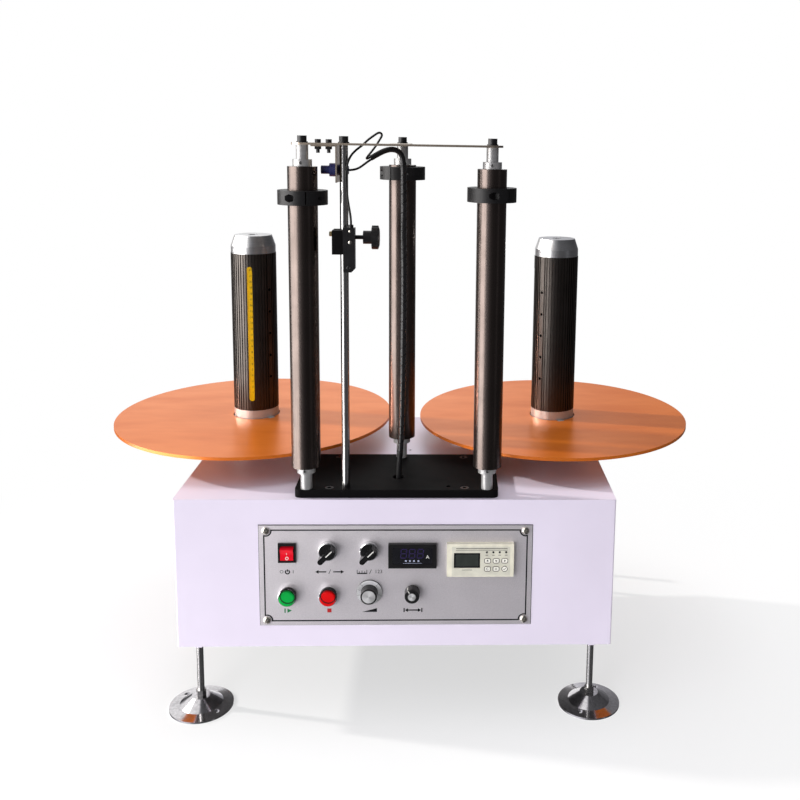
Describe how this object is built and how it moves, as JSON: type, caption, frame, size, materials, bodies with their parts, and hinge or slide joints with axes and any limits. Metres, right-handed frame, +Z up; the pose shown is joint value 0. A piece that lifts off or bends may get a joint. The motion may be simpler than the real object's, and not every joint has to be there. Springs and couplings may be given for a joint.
{
  "type": "film rewinder",
  "caption": "Bench film rewinder: vertical unwinding and rewinding reels on a cabinet, with guide rollers, split guide rings, a label sensor on a rod and a control panel.",
  "frame": {"origin": "on the floor, under the middle of the machine's box", "axes": "+Z up, +X from the unwinding reel to the rewinding reel, -Y toward the operator in front of the controls"},
  "size_m": [0.98, 0.54, 0.8699],
  "materials": {
    "cabinet_paint": "gloss lilac white powder coat",
    "panel_sheet": "matt grey panel",
    "black_anodised": "black anodised plate",
    "black_screw": "black oxide screws",
    "steel": "ground steel",
    "zinc_plate": "yellowish plated sheet",
    "sensor_blue": "dark blue plastic",
    "machined_aluminium": "machined aluminium",
    "motor_black": "black paint",
    "black_plastic": "black moulding",
    "cream_plastic": "cream bezel with dark screen",
    "chrome_ring": "bright rings on dark barrels",
    "copper_disc": "copper coloured polished disc",
    "polished_steel": "polished ring",
    "ribbed_tube": "dark anodised fluted tube",
    "ruler_yellow": "yellow scale strip",
    "bronze_anodised": "dark bronze anodised tube",
    "black_ring": "black anodised split collar",
    "switch_red": "red plastic",
    "button_green": "green plastic",
    "button_red": "red plastic",
    "cable_black": "black cable",
    "foot_steel": "polished steel dish"
  },
  "bodies": {
    "machine": {"cabinet_shell": "cabinet_paint", "bottom_tray": "cabinet_paint", "control_panel": "panel_sheet", "base_plate": "black_anodised", "deck_bolts": "black_screw", "top_screws": "black_screw", "roller_shafts": "steel", "sensor_rod": "steel", "shaft_collars": "steel", "ball_bearings": "steel", "tie_plate": "zinc_plate", "sensor_bracket": "zinc_plate", "roller_sensor": "sensor_blue", "bearing_housings": "machined_aluminium", "tension_brake": "machined_aluminium", "drive_motor": "motor_black", "power_supply": "machined_aluminium", "power_inlet": "black_plastic", "rocker_frame": "black_plastic", "ammeter": "black_plastic", "length_counter": "cream_plastic", "switch_bodies": "chrome_ring", "label_sensor_cable": "cable_black", "roller_sensor_cable": "cable_black", "cable_bundle": "cable_black"},
    "left_reel": {"left_disc": "copper_disc", "left_spindle_ring": "polished_steel", "left_core_tube": "ribbed_tube", "left_spindle_cap": "machined_aluminium", "left_spindle_shaft": "steel", "left_ruler": "ruler_yellow"},
    "right_reel": {"right_disc": "copper_disc", "right_spindle_ring": "polished_steel", "right_core_tube": "ribbed_tube", "right_spindle_cap": "machined_aluminium", "right_spindle_shaft": "steel"},
    "left_roller_body": {"left_roller": "bronze_anodised"},
    "rear_roller_body": {"rear_roller": "bronze_anodised"},
    "right_roller_body": {"right_roller": "bronze_anodised"},
    "left_ring_body": {"left_guide_ring": "black_ring"},
    "rear_ring_body": {"rear_guide_ring": "black_ring"},
    "right_ring_body": {"right_guide_ring": "black_ring"},
    "carriage": {"sensor_holder": "black_ring", "label_sensor": "black_plastic"},
    "clamp": {"clamp_knob": "black_plastic"},
    "mains_rocker": {"rocker": "switch_red"},
    "direction_switch": {"direction_selector": "black_plastic"},
    "unit_switch": {"unit_selector": "black_plastic"},
    "start_switch": {"start_button": "button_green"},
    "stop_switch": {"stop_button": "button_red"},
    "speed_dial": {"speed_knob": "black_plastic"},
    "tension_dial": {"tension_knob": "black_plastic"},
    "pad_front_left": {"foot_pad_front_left": "foot_steel"},
    "stem_front_left": {"foot_stem_front_left": "steel"},
    "pad_front_right": {"foot_pad_front_right": "foot_steel"},
    "stem_front_right": {"foot_stem_front_right": "steel"},
    "pad_rear_left": {"foot_pad_rear_left": "foot_steel"},
    "stem_rear_left": {"foot_stem_rear_left": "steel"},
    "pad_rear_right": {"foot_pad_rear_right": "foot_steel"},
    "stem_rear_right": {"foot_stem_rear_right": "steel"}
  },
  "joints": [
    {"name": "left_reel_spin", "type": "hinge", "parent": "machine", "child": "left_reel", "pos_m": [-0.258, 0.038, 0.384], "axis": [0, 0, 1], "continuous": true},
    {"name": "right_reel_spin", "type": "hinge", "parent": "machine", "child": "right_reel", "pos_m": [0.258, 0.038, 0.384], "axis": [0, 0, 1], "continuous": true},
    {"name": "left_roller_spin", "type": "hinge", "parent": "machine", "child": "left_roller_body", "pos_m": [-0.133, -0.226, 0.6], "axis": [0, 0, 1], "continuous": true},
    {"name": "rear_roller_spin", "type": "hinge", "parent": "machine", "child": "rear_roller_body", "pos_m": [0, -0.087, 0.6], "axis": [0, 0, 1], "continuous": true},
    {"name": "right_roller_spin", "type": "hinge", "parent": "machine", "child": "right_roller_body", "pos_m": [0.133, -0.226, 0.6], "axis": [0, 0, 1], "continuous": true},
    {"name": "left_ring_slide", "type": "slide", "parent": "left_roller_body", "child": "left_ring_body", "axis": [0, 0, 1], "range_m": [-0.38, 0.015]},
    {"name": "rear_ring_slide", "type": "slide", "parent": "rear_roller_body", "child": "rear_ring_body", "axis": [0, 0, 1], "range_m": [-0.41, 0.002]},
    {"name": "right_ring_slide", "type": "slide", "parent": "right_roller_body", "child": "right_ring_body", "axis": [0, 0, 1], "range_m": [-0.385, 0.025]},
    {"name": "carriage_slide", "type": "slide", "parent": "machine", "child": "carriage", "axis": [0, 0, 1], "range_m": [-0.06, 0.05], "deforming": ["label_sensor_cable"]},
    {"name": "clamp_turn", "type": "hinge", "parent": "carriage", "child": "clamp", "pos_m": [-0.076, -0.219, 0.7206], "axis": [1, 0, 0], "range_deg": [0, 360]},
    {"name": "mains_rocker_tilt", "type": "hinge", "parent": "machine", "child": "mains_rocker", "pos_m": [-0.16, -0.238, 0.2565], "axis": [1, 0, 0], "range_deg": [-16, 0]},
    {"name": "direction_turn", "type": "hinge", "parent": "machine", "child": "direction_switch", "pos_m": [-0.1, -0.244, 0.2605], "axis": [0, -1, 0], "range_deg": [0, 90]},
    {"name": "unit_turn", "type": "hinge", "parent": "machine", "child": "unit_switch", "pos_m": [-0.0395, -0.244, 0.2605], "axis": [0, -1, 0], "range_deg": [0, 90]},
    {"name": "start_press", "type": "slide", "parent": "machine", "child": "start_switch", "axis": [0, 1, 0], "range_m": [0, 0.004], "stiffness_N_per_m": 600},
    {"name": "stop_press", "type": "slide", "parent": "machine", "child": "stop_switch", "axis": [0, 1, 0], "range_m": [0, 0.004], "stiffness_N_per_m": 600},
    {"name": "speed_turn", "type": "hinge", "parent": "machine", "child": "speed_dial", "pos_m": [-0.0395, -0.244, 0.1945], "axis": [0, 1, 0], "range_deg": [0, 300]},
    {"name": "tension_turn", "type": "hinge", "parent": "machine", "child": "tension_dial", "pos_m": [0.024, -0.244, 0.1945], "axis": [0, 1, 0], "range_deg": [0, 300]},
    {"name": "front_left_lift", "type": "slide", "parent": "machine", "child": "pad_front_left", "axis": [0, 0, 1], "range_m": [-0.012, 0.012]},
    {"name": "front_left_turn", "type": "hinge", "parent": "pad_front_left", "child": "stem_front_left", "pos_m": [-0.297, -0.2225, 0.05], "axis": [0, 0, 1], "range_deg": [-2904, 2904]},
    {"name": "front_right_lift", "type": "slide", "parent": "machine", "child": "pad_front_right", "axis": [0, 0, 1], "range_m": [-0.012, 0.012]},
    {"name": "front_right_turn", "type": "hinge", "parent": "pad_front_right", "child": "stem_front_right", "pos_m": [0.297, -0.2225, 0.05], "axis": [0, 0, 1], "range_deg": [-2904, 2904]},
    {"name": "rear_left_lift", "type": "slide", "parent": "machine", "child": "pad_rear_left", "axis": [0, 0, 1], "range_m": [-0.012, 0.012]},
    {"name": "rear_left_turn", "type": "hinge", "parent": "pad_rear_left", "child": "stem_rear_left", "pos_m": [-0.297, 0.1485, 0.05], "axis": [0, 0, 1], "range_deg": [-2904, 2904]},
    {"name": "rear_right_lift", "type": "slide", "parent": "machine", "child": "pad_rear_right", "axis": [0, 0, 1], "range_m": [-0.012, 0.012]},
    {"name": "rear_right_turn", "type": "hinge", "parent": "pad_rear_right", "child": "stem_rear_right", "pos_m": [0.297, 0.1485, 0.05], "axis": [0, 0, 1], "range_deg": [-2904, 2904]}
  ],
  "couplings": [
    {"joint": "front_left_turn", "follows": "front_left_lift", "rad_per_m": 4188.8},
    {"joint": "front_right_turn", "follows": "front_right_lift", "rad_per_m": 4188.8},
    {"joint": "rear_left_turn", "follows": "rear_left_lift", "rad_per_m": 4188.8},
    {"joint": "rear_right_turn", "follows": "rear_right_lift", "rad_per_m": 4188.8}
  ]
}
